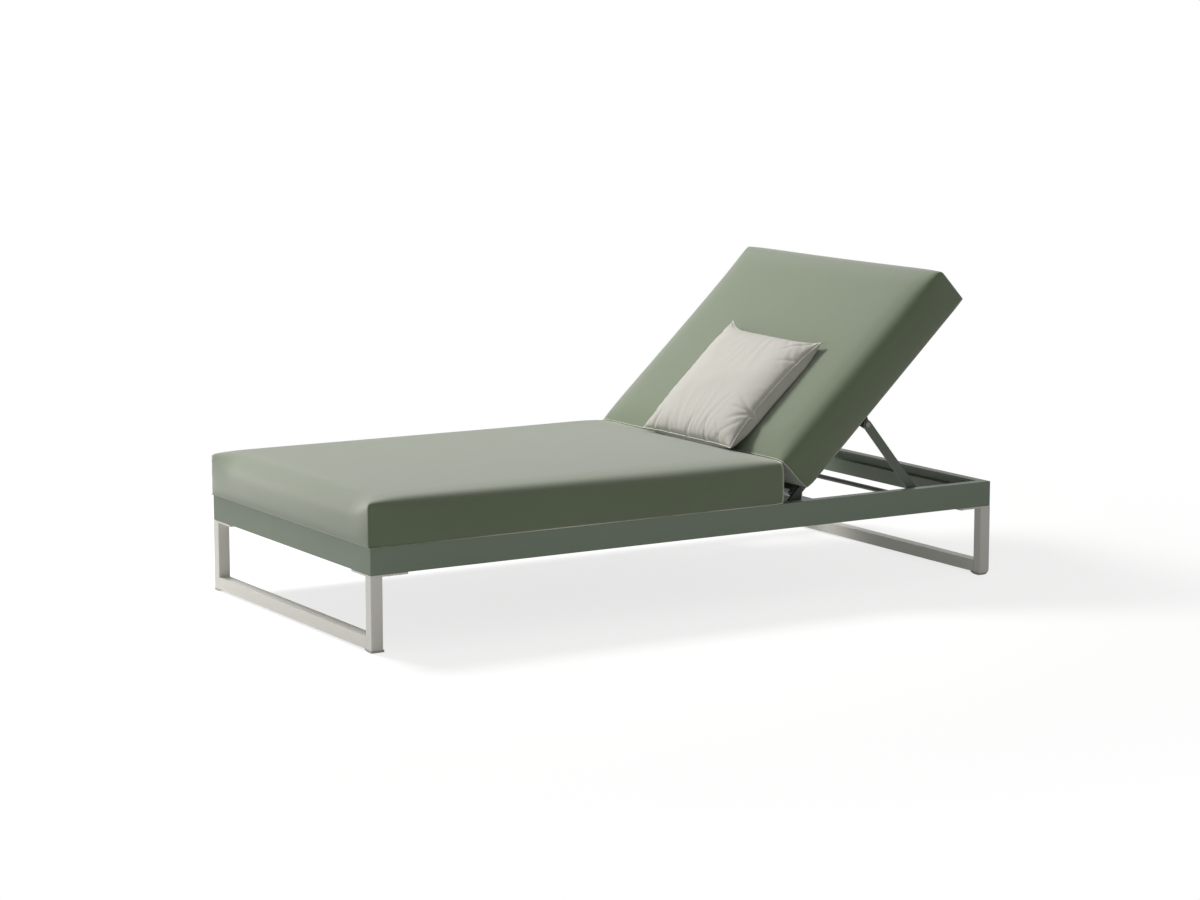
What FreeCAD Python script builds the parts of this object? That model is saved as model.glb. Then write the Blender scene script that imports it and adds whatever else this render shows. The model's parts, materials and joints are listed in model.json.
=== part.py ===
import FreeCAD, Part
import math
import os

# Sun lounger with a low welded frame on two sled legs, a thick two-part mattress and a
# backrest that reclines on two hinge pins and is propped by a folding U-shaped stay.
# The frame stands on z = 0, centred on the origin, with the head end towards +X and
# the right-hand side of someone lying on it towards +Y. All lengths are millimetres.

Vec = FreeCAD.Vector
ORIGIN = Vec(0, 0, 0)
X_AXIS = Vec(1, 0, 0)
Y_AXIS = Vec(0, 1, 0)
Z_AXIS = Vec(0, 0, 1)

# Whole frame
frame_length = 2000.0
frame_width = 960.0
frame_top = 272.0
frame_corner_radius = 3.0

# Rails: a hollow bar with a groove along its inner face for the slats
rail_height = 71.0
rail_width = 30.0
rail_wall = 2.5
rail_edge_radius = 2.0
groove_lip = 6.0
groove_height = 22.0
groove_depth = 12.0

# Legs: posts and runners of hollow tube on thin corner plates, with glides underneath
post_depth = 34.0
post_width = 30.0
runner_height = 34.0
leg_wall = 2.0
leg_edge_radius = 1.5
plate_thickness = 5.0
plate_reach = 108.0
glide_height = 6.0
glide_foot_width = 18.0
glide_length = 40.0
glide_step = 3.0
glide_sag_share = 0.3
head_foot_radius = 18.0

# Seat slats with moulded end caps that slide into the groove of the rails
slat_count = 9
slat_width = 70.0
slat_height = 26.0
slat_wall = 2.0
slat_edge_radius = 1.5
slat_foot_margin = 40.0
slat_head_gap = 30.0
cap_flange = 3.0
cap_plug_length = 15.0
cap_tongue_width = 60.0

# Cross beam behind the hinge line
beam_width = 40.0
beam_height = 35.0
beam_wall = 2.0
beam_setback = 150.0
beam_lift = 1.0

# Recline hinge
hinge_setback = 48.3
hinge_drop = 12.0
rest_angle = 43.1
pin_radius = 6.0
pin_head_radius = 9.0
pin_head_height = 3.5
bush_wall = 3.0
bush_flange_radius = 11.5
bush_flange_height = 4.7
bracket_width = 50.0
bracket_thickness = 5.0
bracket_top_gap = 1.0
bracket_foot_gap = 5.0
bracket_radius = 10.0
hinge_arm_thickness = 6.0
hinge_arm_reach = 61.0
hinge_arm_drop = 19.0
hinge_arm_drop_start = 37.0
hinge_arm_nose = 6.0
hinge_arm_boss_radius = 11.5

# Backrest frame, laid out along the back from the hinge axis
stile_size = 24.0
stile_wall = 2.0
stile_edge_radius = 2.0
stile_start = 28.0
stile_length = 607.0
back_bottom_start = 40.0
back_slat_count = 4
back_slat_width = 70.0
back_slat_height = 12.0
back_slat_wall = 1.5

# Folding stay: two flat arms and a cross bar, pivoted on lugs under the stiles
stay_pivot_along = 331.0
stay_pivot_below = 32.0
stay_rest_angle = 50.5
stay_turn_ratio = 2.19
stay_arm_length = 300.5
stay_arm_width = 26.0
stay_arm_thickness = 6.0
stay_side_gap = 1.0
stay_bar_radius = 7.0
lug_thickness = 6.0
lug_width = 40.0
lug_end_radius = 13.0
stay_bolt_radius = 4.0
stay_bolt_head_radius = 8.0
stay_bolt_head_height = 2.7
stay_nut_radius = 7.0
stay_nut_height = 6.0
stay_nut_sides = 6

# Notched racks that catch the ends of the stay's bar
rack_angles = (14.0, 28.5, 43.1, 55.1)
rack_thickness = 5.0
rack_top_gap = 20.0
rack_foot_gap = 5.0
rack_end_margin = 24.0

# Screws
screw_radius = 3.0
screw_head_radius = 5.5
screw_head_height = 3.0
screw_bite = 10.0
plate_screw_shares = (0.55, 0.85)
bracket_screw_share = 0.28
rack_screw_shares = (0.06, 0.5, 0.9)

# Mattress and scatter pillow
pad_thickness = 111.7
pad_edge_radius = 12.0
pad_side_radius = 10.0
back_pad_heel_radius = 20.0
back_pad_gap = 0.8
back_pad_length = 733.0
back_overhang = 8.0
pillow_width = 455.0
pillow_height = 436.0
pillow_front_bulge = 56.0
pillow_rear_bulge = 40.0
pillow_edge_thickness = 8.0
pillow_corner_radius = 24.0
pillow_drop = 28.0
pillow_side_offset = -55.0
pillow_inset_shares = (0.0, 0.10, 0.24, 0.40)
pillow_bulge_shares = (0.0, 0.62, 0.92, 1.0)
parallel_share = 1e-6

# Clearances
seat_gap = 0.3
running_gap = 0.05
hole_gap = 0.15
overrun = 5.0

# Places worked out from the sizes above
half_length = frame_length / 2
half_width = frame_width / 2
rail_bottom = frame_top - rail_height
rail_face_y = half_width - rail_width
groove_top = frame_top - groove_lip
groove_bottom = groove_top - groove_height
plate_bottom = rail_bottom - plate_thickness
bracket_face_y = rail_face_y - bracket_thickness
hinge_arm_face_y = bracket_face_y - seat_gap - bush_flange_height
stile_face_y = hinge_arm_face_y - hinge_arm_thickness
stile_inner_y = stile_face_y - stile_size
stay_arm_inner_y = stile_face_y + stay_side_gap
stay_arm_outer_y = stay_arm_inner_y + stay_arm_thickness
seat_head_x = half_length + back_overhang - back_pad_length
hinge_x = seat_head_x + hinge_setback
hinge_z = frame_top - hinge_drop
back_pad_rear = hinge_drop + back_pad_gap
back_pad_front = back_pad_rear + pad_thickness
rest_sine = math.sin(math.radians(rest_angle))
rest_cosine = math.cos(math.radians(rest_angle))
back_pad_start = (back_pad_front * rest_sine + seat_gap - hinge_setback) / rest_cosine
pillow_start = back_pad_start - pillow_drop


def box(x0, x1, y0, y1, z0, z1):
    """A box between two corners."""
    return Part.makeBox(x1 - x0, y1 - y0, z1 - z0, Vec(x0, y0, z0))


def prism_y(outline, y0, y1):
    """An outline of (x, z) points pushed from y0 to y1."""
    points = [Vec(x, y0, z) for x, z in outline]
    face = Part.Face(Part.makePolygon(points + points[:1]))
    return face.extrude(Vec(0, y1 - y0, 0))


def rod_y(radius, x, z, y0, y1):
    """A round bar parallel to Y."""
    return Part.makeCylinder(radius, y1 - y0, Vec(x, y0, z), Y_AXIS)


def long_edges(shape, axis):
    """The straight edges of a shape that run along an axis."""
    found = []
    for edge in shape.Edges:
        run = edge.Vertexes[-1].Point - edge.Vertexes[0].Point
        if run.Length > 0 and run.cross(axis).Length < run.Length * parallel_share:
            found.append(edge)
    return found


def tube(outer, inner, axis, edge_radius):
    """A bar with rounded long edges and a straight hole through it."""
    return outer.makeFillet(edge_radius, long_edges(outer, axis)).cut(inner)


def mirrored(shape):
    """The same piece on the other side of the lounger."""
    return shape.mirror(ORIGIN, Y_AXIS)


def on_back(shape):
    """A piece laid out along the back from the hinge axis, swung up to the back's angle."""
    turned = shape.copy()
    turned.rotate(ORIGIN, Y_AXIS, -rest_angle)
    turned.translate(Vec(hinge_x, 0, hinge_z))
    return turned


def back_point(along, out, angle):
    """The x and z of a point given along the back and out from it."""
    turn = math.radians(angle)
    x = hinge_x + along * math.cos(turn) - out * math.sin(turn)
    z = hinge_z + along * math.sin(turn) + out * math.cos(turn)
    return x, z


def stay_bar_point(angle):
    """The x and z of the stay's bar when the back stands at an angle."""
    x, z = back_point(stay_pivot_along, -stay_pivot_below, angle)
    slope = math.radians(stay_rest_angle + (stay_turn_ratio - 1) * (angle - rest_angle))
    return x + stay_arm_length * math.cos(slope), z - stay_arm_length * math.sin(slope)


def button_screw(at, direction, grip):
    """A button-head screw whose head seats at a point and whose shank goes along a direction."""
    head = Part.makeCylinder(screw_head_radius, screw_head_height, at, direction * -1)
    rim = [edge for edge in head.Edges if len(edge.Vertexes) == 1]
    rim.sort(key=lambda edge: (edge.CenterOfMass - at).Length)
    head = head.makeFillet(screw_head_height / 2, rim[-1:])
    return head.fuse(Part.makeCylinder(screw_radius, grip, at, direction)).removeSplitter()


def screw_hole(at, direction, depth):
    """The clearance hole of such a screw."""
    return Part.makeCylinder(screw_radius + hole_gap, depth, at, direction)


def plate_screw_places():
    """Where the screws of the four corner plates seat, on their undersides."""
    middle = rail_width / 2
    places = []
    for end in (-1, 1):
        for side in (-1, 1):
            for share in plate_screw_shares:
                reach = plate_reach * share
                for inward_x, inward_y in ((reach, middle), (middle, reach)):
                    x = end * (half_length - inward_x)
                    y = side * (half_width - inward_y)
                    places.append(Vec(x, y, plate_bottom))
    return places


def bracket_screw_places():
    """Where the screws of the right-hand hinge bracket seat."""
    z = (rail_bottom + groove_bottom) / 2
    reach = bracket_width * bracket_screw_share
    return [Vec(hinge_x - reach, bracket_face_y, z), Vec(hinge_x + reach, bracket_face_y, z)]


def rack_ends():
    """The foot end and head end of a rack."""
    places = [stay_bar_point(angle)[0] for angle in rack_angles]
    return min(places) - rack_end_margin, max(places) + rack_end_margin


def rack_screw_places():
    """Where the screws of the right-hand rack seat, below its notches."""
    start, end = rack_ends()
    z = rail_bottom + rack_foot_gap + screw_head_radius + rail_wall
    y = rail_face_y - rack_thickness
    return [Vec(start + (end - start) * share, y, z) for share in rack_screw_shares]


def rail_bar(length, reach):
    """A mitred rail along X with its outer face at y = reach."""
    outline = [
        (0, rail_bottom),
        (rail_width, rail_bottom),
        (rail_width, groove_bottom),
        (rail_width - groove_depth, groove_bottom),
        (rail_width - groove_depth, groove_top),
        (rail_width, groove_top),
        (rail_width, frame_top),
        (0, frame_top),
    ]
    back_wall = rail_width - groove_depth - rail_wall
    cavity = [
        (rail_wall, rail_bottom + rail_wall),
        (rail_width - rail_wall, rail_bottom + rail_wall),
        (rail_width - rail_wall, groove_bottom - rail_wall),
        (back_wall, groove_bottom - rail_wall),
        (back_wall, frame_top - rail_wall),
        (rail_wall, frame_top - rail_wall),
    ]
    solids = []
    for points in (outline, cavity):
        corners = [Vec(-length / 2, reach - inward, z) for inward, z in points]
        face = Part.Face(Part.makePolygon(corners + corners[:1]))
        solids.append(face.extrude(Vec(length, 0, 0)))
    bar, hollow = solids
    levels = (rail_bottom, frame_top)
    rounded = [edge for edge in long_edges(bar, X_AXIS) if edge.CenterOfMass.z in levels]
    bar = bar.makeFillet(rail_edge_radius, rounded).cut(hollow)
    mitre = [
        Vec(-length / 2, reach, 0),
        Vec(length / 2, reach, 0),
        Vec(length / 2 - rail_width, reach - rail_width, 0),
        Vec(-length / 2 + rail_width, reach - rail_width, 0),
    ]
    wedge = Part.Face(Part.makePolygon(mitre + mitre[:1])).extrude(Vec(0, 0, frame_top + overrun))
    return bar.common(wedge)


def frame_plan():
    """The frame's outline with rounded corners, as a tall block."""
    block = box(-half_length, half_length, -half_width, half_width, 0, frame_top + overrun)
    return block.makeFillet(frame_corner_radius, long_edges(block, Z_AXIS))


def rails():
    """The four mitred rails with the holes for what is screwed to them."""
    side = rail_bar(frame_length, half_width)
    end = rail_bar(frame_width, half_length)
    end.rotate(ORIGIN, Z_AXIS, -90)
    foot = end.copy()
    foot.rotate(ORIGIN, Z_AXIS, 180)
    plan = frame_plan()
    plate_holes = [screw_hole(at, Z_AXIS, screw_bite) for at in plate_screw_places()]
    side_places = bracket_screw_places() + rack_screw_places()
    right_holes = [screw_hole(at, Y_AXIS, screw_bite) for at in side_places]
    left_holes = [mirrored(hole) for hole in right_holes]
    return {
        "side_rail_right": side.common(plan).cut(plate_holes + right_holes),
        "side_rail_left": mirrored(side).common(plan).cut(plate_holes + left_holes),
        "head_rail": end.common(plan).cut(plate_holes),
        "foot_rail": foot.common(plan).cut(plate_holes),
    }


def rounded_head_foot(shape):
    """Rounds the outer lower edge of a leg piece at the head end, so the lounger tips to be dragged."""
    centre = half_length - head_foot_radius
    corner = box(centre, half_length + overrun, -half_width, half_width, -overrun, head_foot_radius)
    barrel = rod_y(head_foot_radius, centre, head_foot_radius, -half_width, half_width)
    return shape.cut(corner.cut(barrel))


def post():
    """The post under the right-hand corner at the head end."""
    x0 = half_length - post_depth
    y0 = half_width - post_width
    outer = box(x0, half_length, y0, half_width, glide_height, plate_bottom)
    x1 = half_length - leg_wall
    y1 = half_width - leg_wall
    hollow_floor = glide_height + runner_height / 2
    inner = box(x0 + leg_wall, x1, y0 + leg_wall, y1, hollow_floor, plate_bottom + overrun)
    return tube(outer, inner, Z_AXIS, leg_edge_radius)


def runner():
    """The runner that joins the two posts at the head end along the floor."""
    x0 = half_length - post_depth
    reach = half_width - post_width
    top = glide_height + runner_height
    outer = box(x0, half_length, -reach, reach, glide_height, top)
    inner = box(x0 + leg_wall, half_length - head_foot_radius, -reach, reach,
                glide_height + leg_wall, top - leg_wall)
    return tube(outer, inner, Y_AXIS, leg_edge_radius)


def corner_plate():
    """The L-shaped plate on top of the right-hand post at the head end."""
    inner_x = half_length - post_depth
    inner_y = half_width - post_depth
    outline = [
        (half_length, half_width),
        (half_length - plate_reach, half_width),
        (half_length - plate_reach, inner_y),
        (inner_x, inner_y),
        (inner_x, half_width - plate_reach),
        (half_length, half_width - plate_reach),
    ]
    corners = [Vec(x, y, plate_bottom) for x, y in outline]
    plate = Part.Face(Part.makePolygon(corners + corners[:1])).extrude(Vec(0, 0, plate_thickness))
    holes = [screw_hole(at, Z_AXIS, plate_thickness) for at in plate_screw_places()]
    return plate.common(frame_plan()).cut(holes)


def glide():
    """The floor glide under the right-hand post at the head end, hollowed up to the runner."""
    reach = half_width - glide_length
    foot = half_width - glide_foot_width
    x0 = half_length - post_depth - glide_step
    start = Vec(x0, foot, 0)
    finish = Vec(x0, reach, glide_height)
    middle = Vec(x0, (foot + reach) / 2, glide_height * glide_sag_share)
    hollow = Part.Arc(start, middle, finish).toShape()
    rest = Part.makePolygon([finish, Vec(x0, half_width, glide_height), Vec(x0, half_width, 0), start])
    face = Part.Face(Part.Wire([hollow] + rest.Edges))
    return face.extrude(Vec(post_depth + glide_step, 0, 0))


def leg_pieces():
    """Both sled legs: the head leg has rounded outer feet, the foot leg square ones."""
    pieces = {}
    makers = {"post": post, "leg_plate": corner_plate, "glide": glide}
    for name, make in makers.items():
        right = make()
        head = rounded_head_foot(right)
        foot = right.mirror(ORIGIN, X_AXIS)
        pieces["head_" + name + "_right"] = head
        pieces["head_" + name + "_left"] = mirrored(head)
        pieces["foot_" + name + "_right"] = foot
        pieces["foot_" + name + "_left"] = mirrored(foot)
    bar = runner()
    pieces["head_runner"] = rounded_head_foot(bar)
    pieces["foot_runner"] = bar.mirror(ORIGIN, X_AXIS)
    screws = [button_screw(at, Z_AXIS, screw_bite) for at in plate_screw_places()]
    pieces["leg_screws"] = Part.makeCompound(screws)
    return pieces


def slat_centres():
    """The x of each seat slat, spread evenly over the seat."""
    first = -half_length + slat_foot_margin + slat_width / 2
    last = seat_head_x - slat_head_gap - slat_width / 2
    return [first + (last - first) * index / (slat_count - 1) for index in range(slat_count)]


def seat_slat(x):
    """A hollow slat across the seat, flush with the rails' tops."""
    reach = rail_face_y - cap_flange
    x0 = x - slat_width / 2
    x1 = x + slat_width / 2
    z0 = frame_top - slat_height
    outer = box(x0, x1, -reach, reach, z0, frame_top)
    inner = box(x0 + slat_wall, x1 - slat_wall, -reach, reach, z0 + slat_wall, frame_top - slat_wall)
    return tube(outer, inner, Y_AXIS, slat_edge_radius)


def slat_end_cap(x):
    """The right-hand end cap of a slat: a plug, a flange and a tongue in the rail's groove."""
    z0 = frame_top - slat_height
    flange_y = rail_face_y - cap_flange
    flange = box(x - slat_width / 2, x + slat_width / 2, flange_y, rail_face_y, z0, frame_top)
    half_plug = slat_width / 2 - slat_wall - hole_gap
    plug_z = slat_wall + hole_gap
    plug = box(x - half_plug, x + half_plug, flange_y - cap_plug_length, flange_y,
               z0 + plug_z, frame_top - plug_z)
    half_tongue = cap_tongue_width / 2
    tongue_end = rail_face_y + groove_depth - seat_gap
    tongue_floor = max(groove_bottom, z0)
    tongue = box(x - half_tongue, x + half_tongue, rail_face_y, tongue_end,
                 tongue_floor, groove_top - seat_gap)
    return flange.fuse([plug, tongue]).removeSplitter()


def seat_deck():
    """The slats, their end caps and the cross beam behind the hinge line."""
    pieces = {}
    caps = []
    for index, x in enumerate(slat_centres()):
        pieces["seat_slat_%d" % (index + 1)] = seat_slat(x)
        cap = slat_end_cap(x)
        caps += [cap, mirrored(cap)]
    pieces["slat_end_caps"] = Part.makeCompound(caps)
    x0 = hinge_x + beam_setback
    x1 = x0 + beam_width
    z0 = rail_bottom + beam_lift
    z1 = z0 + beam_height
    outer = box(x0, x1, -rail_face_y, rail_face_y, z0, z1)
    inner = box(x0 + beam_wall, x1 - beam_wall, -rail_face_y, rail_face_y, z0 + beam_wall, z1 - beam_wall)
    pieces["hinge_beam"] = tube(outer, inner, Y_AXIS, slat_edge_radius)
    return pieces


def hinge_bracket():
    """The right-hand bracket that carries the hinge pin on the side rail."""
    x0 = hinge_x - bracket_width / 2
    x1 = hinge_x + bracket_width / 2
    z0 = rail_bottom + bracket_foot_gap
    plate = box(x0, x1, bracket_face_y, rail_face_y, z0, frame_top - bracket_top_gap)
    plate = plate.makeFillet(bracket_radius, long_edges(plate, Y_AXIS))
    bore = rod_y(pin_radius + hole_gap, hinge_x, hinge_z, bracket_face_y, rail_face_y)
    holes = [screw_hole(at, Y_AXIS, bracket_thickness) for at in bracket_screw_places()]
    return plate.cut([bore] + holes)


def hinge_pin():
    """The right-hand hinge pin: a shank from the rail's groove and a head inside the hinge arm."""
    head_y = stile_face_y - hole_gap * 2
    shank_end = rail_face_y
    shank = rod_y(pin_radius, hinge_x, hinge_z, head_y, shank_end)
    head = rod_y(pin_head_radius, hinge_x, hinge_z, head_y - pin_head_height, head_y)
    return head.fuse(shank).removeSplitter()


def rack():
    """The right-hand rack with a notch for the stay's bar at each set angle."""
    start, end = rack_ends()
    y0 = rail_face_y - rack_thickness
    plate = box(start, end, y0, rail_face_y, rail_bottom + rack_foot_gap, frame_top - rack_top_gap)
    radius = stay_bar_radius + seat_gap
    cuts = [screw_hole(at, Y_AXIS, rack_thickness) for at in rack_screw_places()]
    for angle in rack_angles:
        x, z = stay_bar_point(angle)
        cuts.append(rod_y(radius, x, z, y0, rail_face_y))
        cuts.append(box(x - radius, x + radius, y0, rail_face_y, z, frame_top))
    return plate.cut(cuts)


def frame_hardware():
    """Hinge brackets, pins, racks and their screws on both side rails."""
    pieces = {}
    makers = {"hinge_bracket": hinge_bracket, "hinge_pin": hinge_pin, "rack": rack}
    for name, make in makers.items():
        right = make()
        pieces[name + "_right"] = right
        pieces[name + "_left"] = mirrored(right)
    screws = []
    for at in bracket_screw_places() + rack_screw_places():
        screw = button_screw(at, Y_AXIS, screw_bite)
        screws += [screw, mirrored(screw)]
    pieces["bracket_screws"] = Part.makeCompound(screws)
    return pieces


def hinge_arm():
    """The right-hand hinge arm: a plate from the hinge boss to the stile, dropped below it."""
    boss = rod_y(hinge_arm_boss_radius, 0, 0, stile_face_y, hinge_arm_face_y)
    outline = [
        (0, hinge_arm_boss_radius),
        (hinge_arm_reach, hinge_arm_boss_radius),
        (hinge_arm_reach, hinge_arm_nose),
        (hinge_arm_drop_start, -hinge_arm_drop),
        (hinge_arm_drop_start - hinge_arm_boss_radius, -hinge_arm_drop),
        (0, -hinge_arm_boss_radius),
    ]
    plate = prism_y(outline, stile_face_y, hinge_arm_face_y)
    bore = rod_y(pin_radius + bush_wall + hole_gap, 0, 0, stile_face_y, hinge_arm_face_y)
    return plate.fuse(boss).removeSplitter().cut(bore)


def hinge_bush():
    """The right-hand flanged bush in the hinge arm, turning on the pin."""
    sleeve = rod_y(pin_radius + bush_wall, 0, 0, stile_face_y, hinge_arm_face_y)
    flange = rod_y(bush_flange_radius, 0, 0, hinge_arm_face_y, bracket_face_y - seat_gap)
    bore = rod_y(pin_radius + running_gap, 0, 0, stile_face_y, bracket_face_y)
    return sleeve.fuse(flange).removeSplitter().cut(bore)


def stile():
    """The right-hand long tube of the backrest frame."""
    half = stile_size / 2
    end = stile_start + stile_length
    outer = box(stile_start, end, stile_inner_y, stile_face_y, -half, half)
    inner = box(stile_start, end, stile_inner_y + stile_wall, stile_face_y - stile_wall,
                -half + stile_wall, half - stile_wall)
    return tube(outer, inner, X_AXIS, stile_edge_radius)


def back_cross_tube(start):
    """A square tube between the stiles, starting at a distance along the back."""
    half = stile_size / 2
    end = start + stile_size
    outer = box(start, end, -stile_inner_y, stile_inner_y, -half, half)
    inner = box(start + stile_wall, end - stile_wall, -stile_inner_y, stile_inner_y,
                -half + stile_wall, half - stile_wall)
    return tube(outer, inner, Y_AXIS, stile_edge_radius)


def back_slat(centre):
    """A flat tube between the stiles, flush with the face the mattress lies on."""
    top = stile_size / 2
    x0 = centre - back_slat_width / 2
    x1 = centre + back_slat_width / 2
    wall = back_slat_wall
    bottom = top - back_slat_height
    outer = box(x0, x1, -stile_inner_y, stile_inner_y, bottom, top)
    inner = box(x0 + wall, x1 - wall, -stile_inner_y, stile_inner_y, bottom + wall, top - wall)
    return tube(outer, inner, Y_AXIS, slat_edge_radius)


def stay_lug():
    """The right-hand lug under the stile that carries the stay's pivot bolt."""
    inner_y = stile_face_y - lug_thickness
    half = lug_width / 2
    root = -stile_size / 2
    outline = [
        (stay_pivot_along - half, root),
        (stay_pivot_along + half, root),
        (stay_pivot_along + lug_end_radius, -stay_pivot_below),
        (stay_pivot_along - lug_end_radius, -stay_pivot_below),
    ]
    plate = prism_y(outline, inner_y, stile_face_y)
    end = rod_y(lug_end_radius, stay_pivot_along, -stay_pivot_below, inner_y, stile_face_y)
    bore = rod_y(stay_bolt_radius + hole_gap, stay_pivot_along, -stay_pivot_below, inner_y, stile_face_y)
    return plate.fuse(end).removeSplitter().cut(bore)


def stay_bolt():
    """The right-hand pivot bolt of the stay with its nut on the inside of the lug."""
    x = stay_pivot_along
    z = -stay_pivot_below
    head_y = stay_arm_outer_y + seat_gap
    lug_inner_y = stile_face_y - lug_thickness
    nut_y = lug_inner_y - stay_nut_height
    shank = rod_y(stay_bolt_radius, x, z, nut_y, head_y)
    head = rod_y(stay_bolt_head_radius, x, z, head_y, head_y + stay_bolt_head_height)
    corners = []
    for index in range(stay_nut_sides):
        turn = 2 * math.pi * index / stay_nut_sides
        corners.append((x + stay_nut_radius * math.cos(turn), z + stay_nut_radius * math.sin(turn)))
    nut = prism_y(corners, nut_y, lug_inner_y)
    return shank.fuse([head, nut]).removeSplitter()


def backrest():
    """The backrest frame with its hinge arms, bushes, lugs and pivot bolts, swung up to rest."""
    pieces = {}
    makers = {"back_stile": stile, "hinge_arm": hinge_arm, "hinge_bush": hinge_bush,
              "stay_lug": stay_lug, "stay_bolt": stay_bolt}
    for name, make in makers.items():
        right = make()
        pieces[name + "_right"] = on_back(right)
        pieces[name + "_left"] = on_back(mirrored(right))
    top_start = stile_start + stile_length - stile_size
    pieces["back_bottom_rail"] = on_back(back_cross_tube(back_bottom_start))
    pieces["back_top_rail"] = on_back(back_cross_tube(top_start))
    first = back_bottom_start + stile_size
    pitch = (top_start - first) / back_slat_count
    for index in range(back_slat_count):
        centre = first + pitch * (index + 1 / 2)
        pieces["back_slat_%d" % (index + 1)] = on_back(back_slat(centre))
    return pieces


def stay_arm():
    """The right-hand flat arm of the stay, from its pivot to its bar."""
    x0, z0 = back_point(stay_pivot_along, -stay_pivot_below, rest_angle)
    x1, z1 = stay_bar_point(rest_angle)
    half = stay_arm_width / 2
    along = Vec(x1 - x0, 0, z1 - z0).normalize()
    aside = Vec(-along.z * half, 0, along.x * half)
    outline = [(x0 + aside.x, z0 + aside.z), (x1 + aside.x, z1 + aside.z),
               (x1 - aside.x, z1 - aside.z), (x0 - aside.x, z0 - aside.z)]
    arm = prism_y(outline, stay_arm_inner_y, stay_arm_outer_y)
    ends = [rod_y(half, x, z, stay_arm_inner_y, stay_arm_outer_y) for x, z in ((x0, z0), (x1, z1))]
    bore = rod_y(stay_bolt_radius + running_gap, x0, z0, stay_arm_inner_y, stay_arm_outer_y)
    return arm.fuse(ends).removeSplitter().cut(bore)


def stay():
    """The folding stay as it props the back at rest."""
    arm = stay_arm()
    x, z = stay_bar_point(rest_angle)
    return {
        "stay_arm_right": arm,
        "stay_arm_left": mirrored(arm),
        "stay_bar": rod_y(stay_bar_radius, x, z, -stay_arm_inner_y, stay_arm_inner_y),
    }


def pad_block(x0, x1, z0, heel_radius):
    """A mattress section as wide as the frame, with its own radius along its lowest foot edge."""
    block = box(x0, x1, -half_width, half_width, z0, z0 + pad_thickness)
    cross = sorted(long_edges(block, Y_AXIS), key=lambda edge: edge.CenterOfMass.x + edge.CenterOfMass.z)
    block = block.makeFillet(heel_radius, cross[:1])
    corners = [Vec(x0, 0, z0 + pad_thickness), Vec(x1, 0, z0), Vec(x1, 0, z0 + pad_thickness)]
    others = [edge for edge in long_edges(block, Y_AXIS)
              if min((edge.CenterOfMass - corner).Length for corner in corners) < seat_gap]
    block = block.makeFillet(pad_edge_radius, others)
    rims = [edge for edge in block.Edges if edge.BoundBox.YLength < seat_gap]
    return block.makeFillet(pad_side_radius, rims)


def seat_pad():
    """The seat section of the mattress, lying on the rails and slats."""
    return pad_block(-half_length, seat_head_x - seat_gap, frame_top + seat_gap, pad_edge_radius)


def back_pad():
    """The back section of the mattress, lying on the backrest frame."""
    end = back_pad_start + back_pad_length
    return on_back(pad_block(back_pad_start, end, back_pad_rear, back_pad_heel_radius))


def pillow_section(inset_share, out):
    """A rounded outline of the pillow, drawn in from its edges by a share of its size."""
    x0 = pillow_start + inset_share * pillow_height
    x1 = pillow_start + pillow_height - inset_share * pillow_height
    y0 = pillow_side_offset - pillow_width / 2 + inset_share * pillow_width
    y1 = pillow_side_offset + pillow_width / 2 - inset_share * pillow_width
    corners = [Vec(x0, y0, out), Vec(x1, y0, out), Vec(x1, y1, out), Vec(x0, y1, out)]
    flat = Part.makePolygon(corners + corners[:1])
    block = Part.Face(flat).extrude(Z_AXIS)
    rounded = block.makeFillet(pillow_corner_radius, long_edges(block, Z_AXIS))
    base = min(rounded.Faces, key=lambda face: face.CenterOfMass.z)
    return base.OuterWire


def pillow():
    """The scatter pillow leaning on the back section: two domed faces that meet at a seam."""
    seam = back_pad_front + seat_gap + pillow_rear_bulge
    halves = []
    for side, bulge in ((-1, pillow_rear_bulge), (1, pillow_front_bulge)):
        sections = [pillow_section(pillow_inset_shares[0], seam)]
        half_edge = pillow_edge_thickness / 2
        for inset, rise in zip(pillow_inset_shares, pillow_bulge_shares):
            sections.append(pillow_section(inset, seam + side * (half_edge + (bulge - half_edge) * rise)))
        halves.append(Part.makeLoft(sections, True, True))
    return on_back(halves[0].fuse(halves[1]).removeSplitter())


def all_pieces():
    """Every piece of the lounger by its node's name."""
    pieces = {}
    pieces.update(rails())
    pieces.update(leg_pieces())
    pieces.update(seat_deck())
    pieces.update(frame_hardware())
    pieces.update(backrest())
    pieces.update(stay())
    pieces["seat_pad"] = seat_pad()
    pieces["back_pad"] = back_pad()
    pieces["pillow"] = pillow()
    return pieces


os.makedirs("parts", exist_ok=True)
for node, shape in all_pieces().items():
    shape.exportStep("parts/%s.step" % node)
    print(node, len(shape.Solids), shape.isValid(), round(shape.Volume))
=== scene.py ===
import json
import math

import bpy
import numpy as np
from mathutils import Matrix, Vector
from mathutils.bvhtree import BVHTree


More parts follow.
